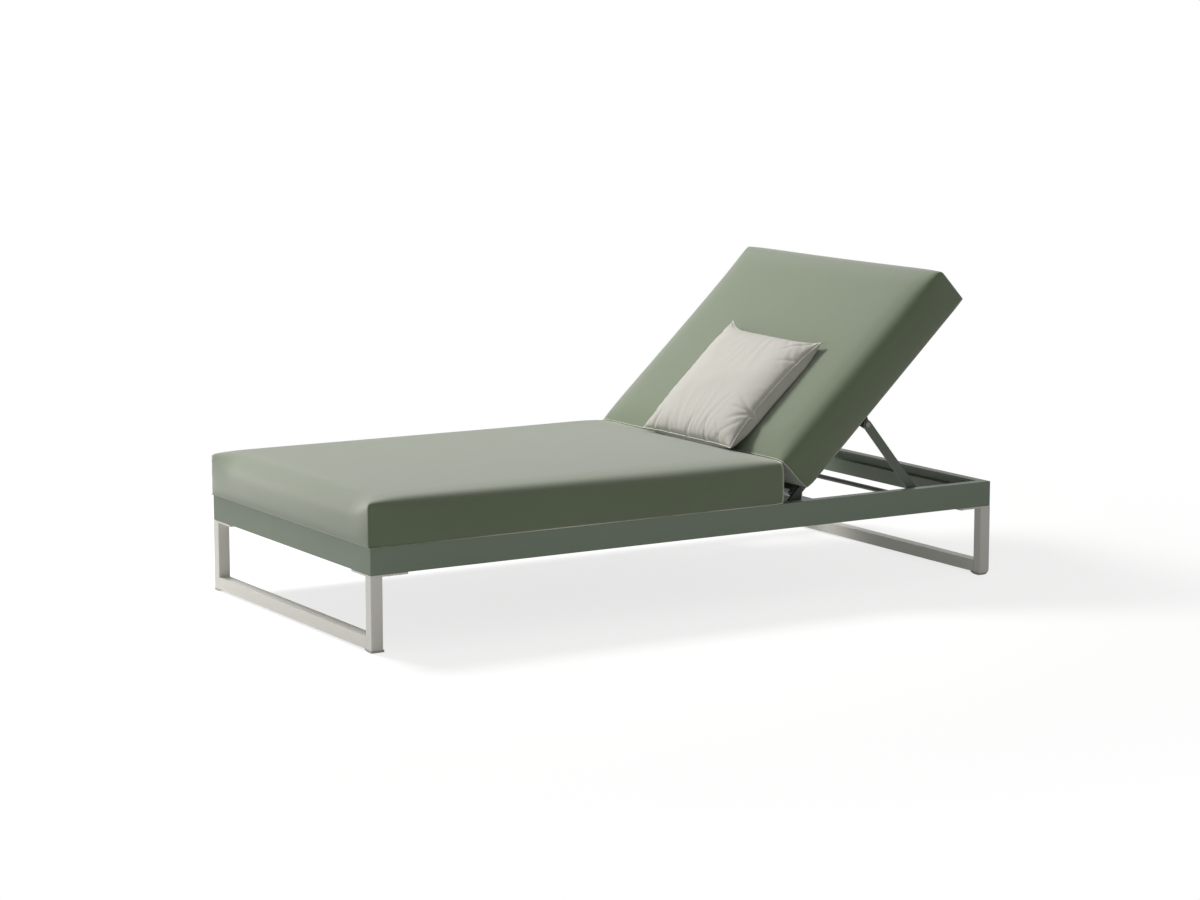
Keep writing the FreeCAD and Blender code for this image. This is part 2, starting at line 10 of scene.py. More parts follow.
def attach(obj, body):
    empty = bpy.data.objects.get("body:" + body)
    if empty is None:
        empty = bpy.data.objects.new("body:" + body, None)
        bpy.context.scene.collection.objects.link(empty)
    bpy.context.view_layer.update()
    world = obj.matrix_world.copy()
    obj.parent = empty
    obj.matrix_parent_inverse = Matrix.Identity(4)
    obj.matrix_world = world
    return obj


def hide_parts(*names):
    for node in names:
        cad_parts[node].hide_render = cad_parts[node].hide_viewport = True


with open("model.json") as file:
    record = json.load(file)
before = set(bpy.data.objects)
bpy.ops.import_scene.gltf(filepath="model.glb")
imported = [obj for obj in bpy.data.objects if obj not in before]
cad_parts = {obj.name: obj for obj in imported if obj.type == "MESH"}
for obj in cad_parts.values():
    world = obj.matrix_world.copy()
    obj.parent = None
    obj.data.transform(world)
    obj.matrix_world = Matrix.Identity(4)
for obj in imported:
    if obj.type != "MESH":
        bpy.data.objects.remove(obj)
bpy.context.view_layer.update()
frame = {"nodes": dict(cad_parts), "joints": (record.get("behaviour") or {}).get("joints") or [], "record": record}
nodes = frame["nodes"]
joints = {joint["name"]: joint for joint in frame["joints"]}

# Colours, linear
fabric_colour = (0.135, 0.180, 0.099)
fabric_dark = (0.122, 0.163, 0.089)
# Piping: a lighter cord, made lighter still by a painted highlight so that it reads as a lit line in the shade of the
# near side
piping_colour_with_painted_highlight = (0.72, 0.735, 0.62)
pillow_colour = (0.56, 0.546, 0.513)
pillow_dark = (0.52, 0.507, 0.475)
# Pillow cord: lighter than the linen, a painted highlight so that the seam reads as a lit line on the shaded flank
pillow_cord_painted_highlight = (0.70, 0.685, 0.645)
frame_colour = (0.190, 0.233, 0.176)
frame_worn = (0.34, 0.39, 0.32)
deck_colour = (0.12, 0.15, 0.115)
deck_worn = (0.24, 0.28, 0.23)
leg_colour = (0.79, 0.775, 0.73)
leg_worn = (0.86, 0.85, 0.82)
glide_colour = (0.50, 0.485, 0.45)
black_colour = (0.022, 0.024, 0.023)
black_worn = (0.07, 0.075, 0.07)
steel_colour = (0.17, 0.17, 0.165)
floor_bounce = 0.85
floor_paper = 0.34
floor_lift = 0.76
sky_colour = (1.0, 1.0, 0.97)
key_colour = (1.0, 0.985, 0.96)

# Weave: the width of a thread and the strength of the fuzz, for each cloth
mattress_thread = 0.0011
mattress_sheen = 1.0
piping_thread = 0.0007
piping_sheen = 0.6
pillow_thread = 0.0008
pillow_sheen = 0.15
fuzz_roughness = 0.54

# Mattress. A side is named by its axis and its sign, such as (2, 1) for the top.
pad_cell = 0.012
soft_edge = 0.026
foot_edge = 0.052
corner_edge = 0.004
back_top_edge = 0.013
corner_reach = 0.13
seat_proud = {(2, 1): 0.0055, (0, -1): 0.004, (0, 1): -0.002}
back_proud = {(2, 1): 0.0075, (0, -1): -0.002}
seat_rises = {(0, -1): 0.003, (1, -1): 0.002, (1, 1): 0.002, (2, 1): 0.006}
back_rises = {(0, 1): 0.005, (1, -1): 0.002, (1, 1): 0.002, (2, 1): 0.009}
end_edge = 0.006
heel_edge = 0.016
seam_crease = 0.9
seam_hold = 0.020
piping_radius = 0.0014
piping_stand = 0.0010
piping_tuck = 4
pad_cap = 0.007
crown_power = 10
pad_frames = 20
pad_pressure = 4.0
pad_stiffness = 40.0
pad_bending = 8.0
shift_rounds = 14

# Pillow
pillow_cells = 96
pillow_rim_inset = 0.013
pillow_top_inset = 0.0165
pillow_low_ear_trim = 0.005
pillow_top_skew = 0.5
pillow_shift = (-0.002, -0.014, 0.0075)
pillow_plump = 6
pillow_flank = 5
pillow_flank_out = 0.021
pillow_flank_band = 0.16
pillow_wrinkle_share = 0.4
pillow_ear_sag = (-0.018, 0.0, -0.010)
fold_width = 0.0060
pillow_frames = 30
pillow_pressure = 5.0
pillow_cap = 0.09
pillow_seam_out = 0.045
pillow_seam_arch = 0.010
pillow_seam_drop = 0.006
pillow_slack = -0.025
pillow_stiffness = 15.0
pillow_bending = 0.25
pillow_cord_radius = 0.0018
contact_gap = 0.0012
# Each fold runs between two places on the pillow, given from -1 to 1 along and across, and has a depth
pillow_folds = [
    ((-0.42, -0.99), (-0.24, -0.62), 0.0090), ((-0.44, -0.99), (-0.47, -0.60), 0.0080),
    ((-0.46, -0.99), (-0.70, -0.72), 0.0080), ((-0.98, 0.76), (-0.70, 0.68), 0.0070),
    ((-0.98, 0.44), (-0.76, 0.46), 0.0055), ((-0.98, 0.02), (-0.66, -0.06), 0.0060),
    ((-0.98, -0.40), (-0.64, -0.34), 0.0070), ((-0.97, -0.74), (-0.70, -0.56), 0.0070),
    ((0.94, -0.92), (0.60, -0.60), 0.0075), ((0.55, -0.97), (0.40, -0.70), 0.0050),
]

# Light: the place, target, size and power of each lamp
key_place = (-1.15, 1.95, 3.2)
key_target = (0.1, 0.0, 0.4)
key_size = (1.3, 1.1)
key_power = 138.0
fill_place = (-4.2, 0.4, 0.5)
fill_target = (-0.6, 0.0, 0.25)
fill_size = (1.8, 0.7)
fill_power = 11.0
sky_strength = 0.315

# Floor: half its side, and where its seen shade starts and ends fading to white
floor_reach = 40.0
fade_start = 1.4
fade_end = 2.6

# Camera, fitted to the frame's corners
camera_place = (-4.4112, -7.1576, 1.6886)
camera_tilt = 81.154
camera_turn = -31.51
camera_lens = 90.11
camera_sensor = 36.0
camera_clip_end = 100.0


def back_frame():
    """The matrix from places along, across and out of the back to the row frame."""
    recline = joints["recline"]
    lift = -math.radians(recline["range_deg"][0])
    return Matrix.Translation(recline["pos_m"]) @ Matrix.Rotation(-lift, 4, "Y")


def local_box(node, matrix):
    """The lowest and highest corner of a node, measured along the axes of a matrix."""
    inverse = np.array(matrix.inverted())
    places = places_of(nodes[node].data) @ inverse[:3, :3].T + inverse[:3, 3]
    return places.min(axis=0), places.max(axis=0)


# Materials

def new_material(name):
    """An empty node material with its Principled shader."""
    material = bpy.data.materials.new(name)
    material.use_nodes = True
    shader = material.node_tree.nodes["Principled BSDF"]
    return material, material.node_tree.nodes, material.node_tree.links, shader


def add_node(tree_nodes, kind, inputs=None, **settings):
    """A node with its settings and its unlinked input values."""
    node = tree_nodes.new(kind)
    for key, value in settings.items():
        setattr(node, key, value)
    for key, value in (inputs or {}).items():
        node.inputs[key].default_value = value
    return node


def opaque(colour):
    """A colour with full alpha."""
    return (*colour, 1.0)


def mix_colours(tree_nodes, links, factor, first, second):
    """A colour mix of two plain colours or sockets, driven by a factor socket."""
    mix = add_node(tree_nodes, "ShaderNodeMix", data_type="RGBA")
    links.new(factor, mix.inputs["Factor"])
    for socket, value in ((mix.inputs[6], first), (mix.inputs[7], second)):
        if isinstance(value, tuple):
            socket.default_value = opaque(value)
        else:
            links.new(value, socket)
    return mix.outputs[2]


def spread(tree_nodes, links, value, low, high, start, end):
    """A value mapped from one range to another."""
    remap = add_node(tree_nodes, "ShaderNodeMapRange",
                     {"From Min": low, "From Max": high, "To Min": start, "To Max": end})
    links.new(value, remap.inputs["Value"])
    return remap.outputs["Result"]


def coated_metal(name, colour, worn, roughness, grain_scale, wear_radius=0.0016):
    """Powder-coated metal: slight cloudiness, fine orange peel, and paint rubbed thin on its edges."""
    material, tree_nodes, links, shader = new_material(name)
    where = add_node(tree_nodes, "ShaderNodeTexCoord").outputs["Object"]
    cloud = add_node(tree_nodes, "ShaderNodeTexNoise", {"Scale": 7.0, "Detail": 4.0, "Roughness": 0.6})
    grain = add_node(tree_nodes, "ShaderNodeTexNoise", {"Scale": grain_scale, "Detail": 2.0})
    for texture in (cloud, grain):
        links.new(where, texture.inputs["Vector"])
    darker = tuple(0.90 * part for part in colour)
    cloudy = mix_colours(tree_nodes, links, cloud.outputs["Fac"], darker, colour)
    rounded = add_node(tree_nodes, "ShaderNodeBevel", {"Radius": wear_radius}, samples=4)
    flat = add_node(tree_nodes, "ShaderNodeNewGeometry")
    facing = add_node(tree_nodes, "ShaderNodeVectorMath", operation="DOT_PRODUCT")
    links.new(rounded.outputs["Normal"], facing.inputs[0])
    links.new(flat.outputs["Normal"], facing.inputs[1])
    edge = spread(tree_nodes, links, facing.outputs["Value"], 0.99, 0.80, 0.0, 0.75)
    patch = spread(tree_nodes, links, cloud.outputs["Fac"], 0.42, 0.62, 0.0, 1.0)
    wear = add_node(tree_nodes, "ShaderNodeMath", operation="MULTIPLY")
    links.new(edge, wear.inputs[0])
    links.new(patch, wear.inputs[1])
    links.new(mix_colours(tree_nodes, links, wear.outputs[0], cloudy, worn), shader.inputs["Base Color"])
    links.new(spread(tree_nodes, links, cloud.outputs["Fac"], 0.3, 0.7, roughness - 0.05, roughness + 0.07),
              shader.inputs["Roughness"])
    bump = add_node(tree_nodes, "ShaderNodeBump", {"Strength": 0.10, "Distance": 0.0004})
    links.new(grain.outputs["Fac"], bump.inputs["Height"])
    links.new(rounded.outputs["Normal"], bump.inputs["Normal"])
    links.new(bump.outputs["Normal"], shader.inputs["Normal"])
    shader.inputs["Specular IOR Level"].default_value = 0.4
    return material


def moulded_plastic(name, colour, worn, roughness):
    """Moulded plastic with a fine spark-eroded texture."""
    material = coated_metal(name, colour, worn, roughness, 1400.0)
    material.node_tree.nodes["Principled BSDF"].inputs["Specular IOR Level"].default_value = 0.35
    return material


def brushed_steel(name):
    """Steel screws, pins and bolts with fine turning marks."""
    material, tree_nodes, links, shader = new_material(name)
    where = add_node(tree_nodes, "ShaderNodeTexCoord").outputs["Object"]
    stretch = add_node(tree_nodes, "ShaderNodeMapping", {"Scale": (900.0, 60.0, 900.0)})
    links.new(where, stretch.inputs["Vector"])
    marks = add_node(tree_nodes, "ShaderNodeTexNoise", {"Scale": 1.0, "Detail": 3.0})
    links.new(stretch.outputs["Vector"], marks.inputs["Vector"])
    darker = tuple(0.8 * part for part in steel_colour)
    links.new(mix_colours(tree_nodes, links, marks.outputs["Fac"], darker, steel_colour),
              shader.inputs["Base Color"])
    links.new(spread(tree_nodes, links, marks.outputs["Fac"], 0.3, 0.7, 0.28, 0.46), shader.inputs["Roughness"])
    bump = add_node(tree_nodes, "ShaderNodeBump", {"Strength": 0.08, "Distance": 0.0002})
    links.new(marks.outputs["Fac"], bump.inputs["Height"])
    links.new(bump.outputs["Normal"], shader.inputs["Normal"])
    shader.inputs["Metallic"].default_value = 1.0
    return material


def woven_fabric(name, colour, darker, thread, sheen):
    """A plain weave with uneven threads, soft broad cloudiness and a light fuzz."""
    material, tree_nodes, links, shader = new_material(name)
    where = add_node(tree_nodes, "ShaderNodeTexCoord").outputs["Object"]
    cloud = add_node(tree_nodes, "ShaderNodeTexNoise", {"Scale": 3.2, "Detail": 5.0, "Roughness": 0.62})
    slub = add_node(tree_nodes, "ShaderNodeTexNoise", {"Scale": 420.0, "Detail": 2.0, "Roughness": 0.7})
    for texture in (cloud, slub):
        links.new(where, texture.inputs["Vector"])
    threads = []
    for axis in ("X", "Y", "Z"):
        wave = add_node(tree_nodes, "ShaderNodeTexWave", {"Scale": 0.31 / thread, "Distortion": 1.2,
                                                          "Detail": 1.0, "Detail Scale": 6.0},
                        wave_type="BANDS", bands_direction=axis)
        links.new(where, wave.inputs["Vector"])
        threads.append(wave.outputs["Fac"])
    total = threads[0]
    for other in threads[1:]:
        together = add_node(tree_nodes, "ShaderNodeMath", operation="ADD")
        links.new(total, together.inputs[0])
        links.new(other, together.inputs[1])
        total = together.outputs[0]
    weave = spread(tree_nodes, links, total, 0.0, 3.0, 0.0, 1.0)
    cloudy = mix_colours(tree_nodes, links, spread(tree_nodes, links, cloud.outputs["Fac"], 0.35, 0.68, 0.0, 1.0),
                         darker, colour)
    tint = tuple(0.80 * part for part in colour)
    mottled = spread(tree_nodes, links, slub.outputs["Fac"], 0.35, 0.75, 0.0, 0.28)
    links.new(mix_colours(tree_nodes, links, mottled, cloudy, tint), shader.inputs["Base Color"])
    links.new(spread(tree_nodes, links, cloud.outputs["Fac"], 0.3, 0.7, 0.78, 0.90), shader.inputs["Roughness"])
    grain = add_node(tree_nodes, "ShaderNodeMath", {2: 0.5}, operation="MULTIPLY_ADD")
    links.new(slub.outputs["Fac"], grain.inputs[0])
    links.new(weave, grain.inputs[1])
    bump = add_node(tree_nodes, "ShaderNodeBump", {"Strength": 0.16, "Distance": 0.0006})
    links.new(grain.outputs[0], bump.inputs["Height"])
    links.new(bump.outputs["Normal"], shader.inputs["Normal"])
    shader.inputs["Specular IOR Level"].default_value = 0.22
    shader.inputs["Sheen Weight"].default_value = sheen
    shader.inputs["Sheen Roughness"].default_value = fuzz_roughness
    return material


def dress_nodes():
    """Each CAD node takes the material of its slot in the record."""
    looks = {
        "frame_green": coated_metal("frame_green", frame_colour, frame_worn, 0.42, 900.0),
        "leg_grey": coated_metal("leg_grey", leg_colour, leg_worn, 0.40, 900.0),
        "deck_green": coated_metal("deck_green", deck_colour, deck_worn, 0.50, 800.0),
        "stay_green": coated_metal("stay_green", deck_colour, deck_worn, 0.42, 900.0),
        "hinge_dark": coated_metal("hinge_dark", black_colour, black_worn, 0.45, 800.0),
        "glide_grey": moulded_plastic("glide_grey", glide_colour, leg_colour, 0.6),
        "cap_black": moulded_plastic("cap_black", black_colour, black_worn, 0.6),
        "bush_black": moulded_plastic("bush_black", black_colour, black_worn, 0.5),
        "steel": brushed_steel("steel"),
    }
    for part in frame["record"]["subparts"]:
        look = looks.get(part["material_slot"])
        if look:
            mesh = nodes[part["node"]].data
            mesh.materials.clear()
            mesh.materials.append(look)


# Soft pieces

def mesh_object(name, mesh, matrix, material):
    """A shown piece from a mesh, smooth all over."""
    piece = bpy.data.objects.new(name, mesh)
    bpy.context.scene.collection.objects.link(piece)
    piece.matrix_world = matrix
    mesh_look(piece, material)
    return piece


def mesh_look(piece, material):
    """Sets a piece's one material and smooth faces."""
    piece.data.materials.clear()
    piece.data.materials.append(material)
    piece.data.polygons.foreach_set("use_smooth", [True] * len(piece.data.polygons))


def settled(piece):
    """A piece's mesh with its modifiers worked in."""
    graph = bpy.context.evaluated_depsgraph_get()
    return bpy.data.meshes.new_from_object(piece.evaluated_get(graph), depsgraph=graph)


def places_of(mesh):
    """A mesh's points, one to a row."""
    places = np.empty(len(mesh.vertices) * 3)
    mesh.vertices.foreach_get("co", places)
    return places.reshape(-1, 3)


def set_places(mesh, places):
    """Moves a mesh's points to the given rows."""
    mesh.vertices.foreach_set("co", places.ravel())
    mesh.update()


def grid_block(low, high):
    """A closed box of even square cells: its points, its faces, and the point at each grid place."""
    low, high = np.array(low), np.array(high)
    counts = [max(2, round(span / pad_cell)) for span in high - low]
    index, points, faces = {}, [], []
    for axis in range(3):
        first, second = [other for other in range(3) if other != axis]
        for side in (0, counts[axis]):
            def at(one, two):
                place = [0, 0, 0]
                place[axis], place[first], place[second] = side, one, two
                key = tuple(place)
                if key not in index:
                    index[key] = len(points)
                    points.append(low + (high - low) * np.array(place) / counts)
                return index[key]
            outward = (side > 0) == (axis != 1)
            for one in range(counts[first]):
                for two in range(counts[second]):
                    face = [at(one, two), at(one + 1, two), at(one + 1, two + 1), at(one, two + 1)]
                    faces.append(face if outward else face[::-1])
    return np.array(points), faces, index, counts


def round_off(places, low, high, sides, radius, sewn):
    """Cuts back the points outside a rounded edge, named by its two sides. It tightens towards its sewn ends."""
    first, second = [axis for axis in range(3) if sides[axis]]
    along = sides.index(0)
    radius = np.full(len(places), radius)
    for end in sewn:
        away = (high[along] - places[:, along]) if end > 0 else (places[:, along] - low[along])
        share = np.clip(away / corner_reach, 0.0, 1.0)
        radius = np.minimum(radius, corner_edge + (radius - corner_edge) * share * (2 - share))
    reach = []
    for axis in (first, second):
        centre = (high[axis] if sides[axis] > 0 else low[axis]) - sides[axis] * radius
        reach.append(sides[axis] * (places[:, axis] - centre))
    length = np.hypot(*reach)
    outside = (reach[0] > 0) & (reach[1] > 0) & (length > radius)
    for axis, part in zip((first, second), reach):
        places[outside, axis] -= (sides[axis] * part * (1 - radius / np.maximum(length, radius)))[outside]


def edge_points(index, counts, sides):
    """The points along one edge of a grid box, in order."""
    axis = sides.index(0)
    found = []
    for step in range(counts[axis] + 1):
        place = [counts[other] if side > 0 else 0 for other, side in enumerate(sides)]
        place[axis] = step
        found.append(index[tuple(place)])
    return found


def crease(mesh, lines):
    """Keeps lines of points sharp when the mesh is subdivided."""
    sharp = set()
    for line in lines:
        sharp.update(frozenset(pair) for pair in zip(line, line[1:]))
    layer = mesh.attributes.new("crease_edge", "FLOAT", "EDGE")
    for edge in mesh.edges:
        if frozenset(edge.vertices) in sharp:
            layer.data[edge.index].value = seam_crease


def eased(mesh, shift, rounds):
    """A shift of each point averaged with its neighbours a few times."""
    pairs = np.empty(len(mesh.edges) * 2, dtype=int)
    mesh.edges.foreach_get("vertices", pairs)
    pairs = pairs.reshape(-1, 2)
    count = np.bincount(pairs.ravel(), minlength=len(shift))[:, None]
    for _ in range(rounds):
        total = np.zeros_like(shift)
        np.add.at(total, pairs[:, 0], shift[pairs[:, 1]])
        np.add.at(total, pairs[:, 1], shift[pairs[:, 0]])
        shift = (shift + total / count) / 2
    return shift


def swell(piece, held, pressure, frames, cap, stiffness, bending, slack=0.0, rounds=0):
    """Fills a piece with air under its cover, with its held points kept, and caps how far a point moves."""
    start = places_of(piece.data)
    group = piece.vertex_groups.new(name="held")
    for index, weight in enumerate(held):
        if weight > 0:
            group.add([index], float(weight), "REPLACE")
    cloth = piece.modifiers.new("cloth", "CLOTH")
    settings = cloth.settings
    settings.quality = 5
    settings.mass = 0.3
    settings.tension_stiffness = stiffness
    settings.compression_stiffness = stiffness
    settings.shear_stiffness = stiffness / 3
    settings.bending_stiffness = bending
    settings.shrink_min = slack
    settings.use_pressure = True
    settings.uniform_pressure_force = pressure
    settings.vertex_group_mass = "held"
    settings.effector_weights.gravity = 0.0
    cloth.collision_settings.use_collision = False
    cloth.point_cache.frame_start = 1
    cloth.point_cache.frame_end = frames
    scene = bpy.context.scene
    for step in range(1, frames + 1):
        scene.frame_set(step)
    moved = settled(piece)
    scene.frame_set(1)
    shift = places_of(moved) - start
    reach = np.linalg.norm(shift, axis=1)
    shift *= (np.minimum(reach, cap) / np.maximum(reach, 1e-9))[:, None]
    bpy.data.meshes.remove(moved)
    piece.modifiers.clear()
    piece.vertex_groups.clear()
    free = (1 - np.array(held))[:, None]
    set_places(piece.data, start + eased(piece.data, shift, rounds) * free)


def subdivide_once(piece):
    """One smoothing subdivision, worked into the mesh."""
    piece.modifiers.new("smooth", "SUBSURF").levels = 1
    mesh = settled(piece)
    piece.modifiers.clear()
    piece.data = mesh


def crown(places, low, high, rises):
    """Lifts the top and pushes the sides of a pad out between its edges, by the given rise for each side."""
    low, high = np.array(low), np.array(high)
    share = np.clip((2 * places - low - high) / (high - low), -1.0, 1.0)
    fall = 1 - share ** crown_power
    out = places.copy()
    for (axis, side), rise in rises.items():
        others = [other for other in range(3) if other != axis]
        near = np.clip(side * share[:, axis], 0.0, 1.0) ** 3
        out[:, axis] += side * rise * near * fall[:, others[0]] * fall[:, others[1]]
    return out


def soft_pad(name, node, matrix, body, radii, seams, rises, proud, fold_side, material):
    """A foam pad in its cover: rounded, swollen between its seams, and flat on the frame and in the fold."""
    low, high = local_box(node, matrix)
    for (axis, side), amount in proud.items():
        (high if side > 0 else low)[axis] += side * amount
    places, faces, index, counts = grid_block(low, high)
    for sides, (radius, sewn) in radii.items():
        round_off(places, low, high, sides, radius, sewn)
    mesh = bpy.data.meshes.new(name)
    mesh.from_pydata(places.tolist(), [], faces)
    mesh.update()
    lines = [edge_points(index, counts, sides) for sides in seams]
    crease(mesh, lines)
    piece = mesh_object(name, mesh, matrix, material)
    fold = high[0] if fold_side > 0 else low[0]
    rests = np.minimum(places[:, 2] - low[2], np.abs(places[:, 0] - fold))
    held = np.clip(1 - rests / seam_hold, 0.0, 1.0)
    for line in lines:
        away = np.linalg.norm(places[:, None] - places[line], axis=2).min(axis=1)
        held = np.maximum(held, np.clip(1 - away / seam_hold, 0.0, 1.0))
    swell(piece, held, pad_pressure, pad_frames, pad_cap, pad_stiffness, pad_bending, rounds=shift_rounds)
    set_places(mesh, crown(places_of(mesh), low, high, rises))
    subdivide_once(piece)
    mesh_look(piece, material)
    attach(piece, body)
    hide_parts(node)
    return piece, mesh, lines


def tube_mesh(name, routes, radius):
    """One mesh of round cords that follow lists of points."""
    curve = bpy.data.curves.new(name, "CURVE")
    curve.dimensions = "3D"
    curve.bevel_depth = radius
    curve.bevel_resolution = 2
    curve.use_fill_caps = True
    for points in routes:
        spline = curve.splines.new("POLY")
        spline.points.add(len(points) - 1)
        for target, point in zip(spline.points, points):
            target.co = (*point, 1.0)
    holder = bpy.data.objects.new(name, curve)
    bpy.context.scene.collection.objects.link(holder)
    mesh = settled(holder)
    bpy.data.objects.remove(holder)
    return mesh


def piping(name, pad, mesh, lines, body, material, tucked=0):
    """Cord sewn into the seams of a pad. The first tucked cords end under the cover."""
    routes = []
    for number, line in enumerate(lines):
        stands = np.full(len(line), piping_stand)
        if number < tucked:
            stands[-piping_tuck:] = np.linspace(piping_stand, -2 * piping_radius, piping_tuck)
        route = []
        for point, stand in zip(line, stands):
            out = mesh.vertices[point].normal
            route.append(mesh.vertices[point].co + Vector((out.x, out.y, max(out.z, 0.0))) * stand)
        routes.append(smoothed(route))
    piece = mesh_object(name, tube_mesh(name, routes, piping_radius), pad.matrix_world, material)
    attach(piece, body)


def smoothed(points, rounds=3):
    """A line of points with its kinks eased, its ends kept."""
    for _ in range(rounds):
        inner = [(before + 2 * here + after) / 4 for before, here, after in zip(points, points[1:], points[2:])]
        points = [points[0], *inner, points[-1]]
    return points


def build_mattress():
    """The seat and back sections of the mattress with their piping. Gives back the back section."""
    fabric = woven_fabric("mattress_weave", fabric_colour, fabric_dark, mattress_thread, mattress_sheen)
    # The piping cloth carries the painted highlight in its colour, a cord lighter than it is
    cord = woven_fabric("piping_weave_painted_highlight", piping_colour_with_painted_highlight, fabric_colour, piping_thread, piping_sheen)
    radii = {(-1, 0, 1): (foot_edge, (-1, 1)), (0, -1, 1): (soft_edge, (-1,)), (0, 1, 1): (soft_edge, (-1,)),
             (1, 0, 1): (end_edge, ()), (1, 0, -1): (end_edge, ())}
    uprights = [(-1, -1, 0), (-1, 1, 0), (1, -1, 0), (1, 1, 0)]
    hems = [(0, -1, -1), (0, 1, -1), (-1, 0, -1), (1, 0, -1)]
    pad, mesh, lines = soft_pad("seat_mattress", "seat_pad", Matrix.Identity(4), "base", radii,
                                hems + uprights[2:] + [(1, 0, 1)] + uprights[:2], seat_rises, seat_proud, 1, fabric)
    # No cord shows along the hem at the foot, the third line
    piping("seat_piping", pad, mesh, lines[:2] + lines[3:7], "base", cord)

    radii = {(1, 0, 1): (back_top_edge, ()), (0, -1, 1): (soft_edge, (1,)), (0, 1, 1): (soft_edge, (1,)),
             (-1, 0, 1): (end_edge, ()), (-1, 0, -1): (heel_edge, ())}
    pad, mesh, lines = soft_pad("back_mattress_pad", "back_pad", back_frame(), "back_mattress", radii,
                                hems + uprights[:2] + [(-1, 0, 1)] + uprights[2:], back_rises, back_proud, -1, fabric)
    piping("back_piping", pad, mesh, lines[:3] + lines[4:7], "back_mattress", cord, tucked=2)
    return pad


def pillow_sheets(low, high):
    """Two sheets sewn together along their rims, as one closed flat mesh whose sides curve in between its ears."""
    count = pillow_cells
    points, faces, index, flat, rear = [], [], {}, [], []
    middle = (low + high) / 2
    half = (high - low) / 2
    for side in (1, -1):
        def at(row, column):
            rim = row in (0, count) or column in (0, count)
            key = (0 if rim else side, row, column)
            if key not in index:
                index[key] = len(points)
                along, across = 2 * row / count - 1, 2 * column / count - 1
                flat.append((along, across))
                rear.append(side < 0)
                inset = pillow_rim_inset * (1 - across ** 4)
                if along > 0:
                    inset += pillow_top_inset * (1 - across ** 6) * (1 + pillow_top_skew * across)
                else:
                    inset += pillow_low_ear_trim * across ** 4
                points.append((middle[0] + along * (half[0] - inset),
                               middle[1] + across * (half[1] - pillow_rim_inset * (1 - along ** 4)),
                               seam_height(low, along, across) + (0 if rim else side * contact_gap)))
            return index[key]
        for row in range(count):
            for column in range(count):
                face = (at(row, column), at(row + 1, column), at(row + 1, column + 1), at(row, column + 1))
                faces.append(face if side > 0 else face[::-1])
    mesh = bpy.data.meshes.new("pillow")
    mesh.from_pydata(points, [], faces)
    mesh.update()
    rim = [index[(0, row, column)] for row, column in rim_cells(count)]
    return mesh, rim, np.array(flat), np.array(rear)


def seam_height(low, along, across):
    """How far out the pillow's seam runs. It arches up at the near side and hangs down at the lower side."""
    arch = pillow_seam_arch * np.clip(-across, 0.0, 1.0) * (1 - along ** 2)
    drop = pillow_seam_drop * np.clip(-along, 0.0, 1.0) * (1 - across ** 2)
    return low[2] + pillow_seam_out + arch - drop


def rim_cells(count):
    """The rows and columns of the rim, once round."""
    ring = [(0, step) for step in range(count)] + [(step, count) for step in range(count)]
    ring += [(count, count - step) for step in range(count)] + [(count - step, 0) for step in range(count)]
    return ring


def fold_depth(flat, size, start, end, depth):
    """How far a fold between two places on the pillow pushes each point in. It is deepest at its start."""
    span = np.array(size[:2]) / 2
    start, end = np.array(start) * span, np.array(end) * span
    run = end - start
    share = (flat * span - start) @ run / (run @ run)
    away = np.linalg.norm(flat * span - (start + np.clip(share, 0.0, 1.0)[:, None] * run), axis=1)
    return depth * (1 - np.clip(share, 0.0, 1.0)) * np.exp(-(away / fold_width) ** 2)


def pillow_form(places, flat, rear, low, high):
    """The blown-up pillow shaped: its plump front, its flanks behind the seam, its folds and its sagging ear."""
    seam_out = seam_height(low, flat[:, 0], flat[:, 1])
    rise = places[:, 2] - seam_out
    rise = np.maximum(rise, 0.0) / rise.max()
    plump = np.sqrt(np.prod(1 - np.abs(flat) ** pillow_plump, axis=1))
    rise = pillow_wrinkle_share * rise + (1 - pillow_wrinkle_share) * plump
    flank = np.sqrt(np.prod(1 - np.abs(flat) ** pillow_flank, axis=1))
    places[:, 2] = seam_out + np.where(rear, (low[2] - seam_out) * flank, (high[2] - seam_out) * rise)
    for axis in (0, 1):
        bulge = np.sin(np.pi * np.clip((1 - np.abs(flat[:, axis])) / pillow_flank_band, 0.0, 1.0))
        bulge *= 1 - flat[:, 1 - axis] ** 4
        places[:, axis] += np.where(rear, np.sign(flat[:, axis]) * pillow_flank_out * bulge, 0.0)
    for fold in pillow_folds:
        places[:, 2] -= np.where(rear, 0.0, fold_depth(flat, high - low, *fold))
    sag = np.clip((1 + flat[:, 0]) / 2, 0, 1) ** 2 * np.clip((1 - flat[:, 1]) / 2, 0, 1) ** 2
    return places + sag[:, None] * np.array(pillow_ear_sag)


def lie_on(places, pad, above):
    """Lifts the points that would sink into a pad. Each is tested straight down from a height above."""
    tree = BVHTree.FromPolygons([v.co for v in pad.data.vertices], [p.vertices for p in pad.data.polygons])
    for place in places:
        hit = tree.ray_cast(Vector((place[0], place[1], above)), Vector((0, 0, -1)))[0]
        if hit is not None:
            place[2] = max(place[2], hit[2] + contact_gap)


